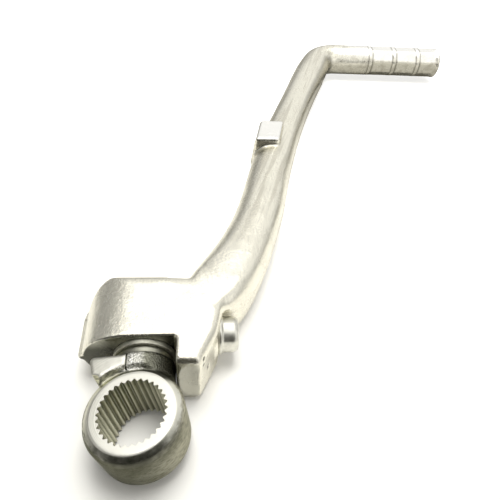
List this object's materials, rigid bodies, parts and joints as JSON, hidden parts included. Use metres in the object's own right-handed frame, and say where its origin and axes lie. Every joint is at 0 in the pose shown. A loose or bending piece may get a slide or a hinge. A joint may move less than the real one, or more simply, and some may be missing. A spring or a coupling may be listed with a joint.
{
  "type": "folding kick start lever",
  "caption": "Folding motorcycle kick start lever: a forged aluminium arm with a ribbed pedal, hinged on the post of a serrated steel knuckle.",
  "frame": {"origin": "centre of the serrated bore, halfway through the ring", "axes": "+Y along the fold post, from the ring towards the lever's head; +X towards the pedal's tip; +Z out of the flat lever, the side seen in the picture"},
  "size_m": [0.1767, 0.2413, 0.0219],
  "materials": {
    "forged_aluminium": "bright tumbled forging",
    "zinc_steel": "zinc plated, turned face and forged barrel",
    "plain_steel": "satin",
    "seal_rubber": "matt"
  },
  "bodies": {
    "knuckle": {"splined_knuckle": "zinc_steel", "thrust_washer": "plain_steel", "post_seal": "seal_rubber", "detent_spring": "plain_steel"},
    "lever": {"lever_arm": "forged_aluminium", "retaining_screw": "plain_steel"},
    "ball": {"detent_ball": "plain_steel"}
  },
  "joints": [
    {"name": "fold", "type": "hinge", "parent": "knuckle", "child": "lever", "pos_m": [0, 0.03, 0], "axis": [0, -1, 0], "range_deg": [0, 98.7]},
    {"name": "detent", "type": "slide", "parent": "knuckle", "child": "ball", "axis": [0.9885, 0, 0.1513], "range_m": [0, 0.0011], "stiffness_N_per_m": 3000, "springref_m": -0.002, "deforming": ["detent_spring"]}
  ]
}
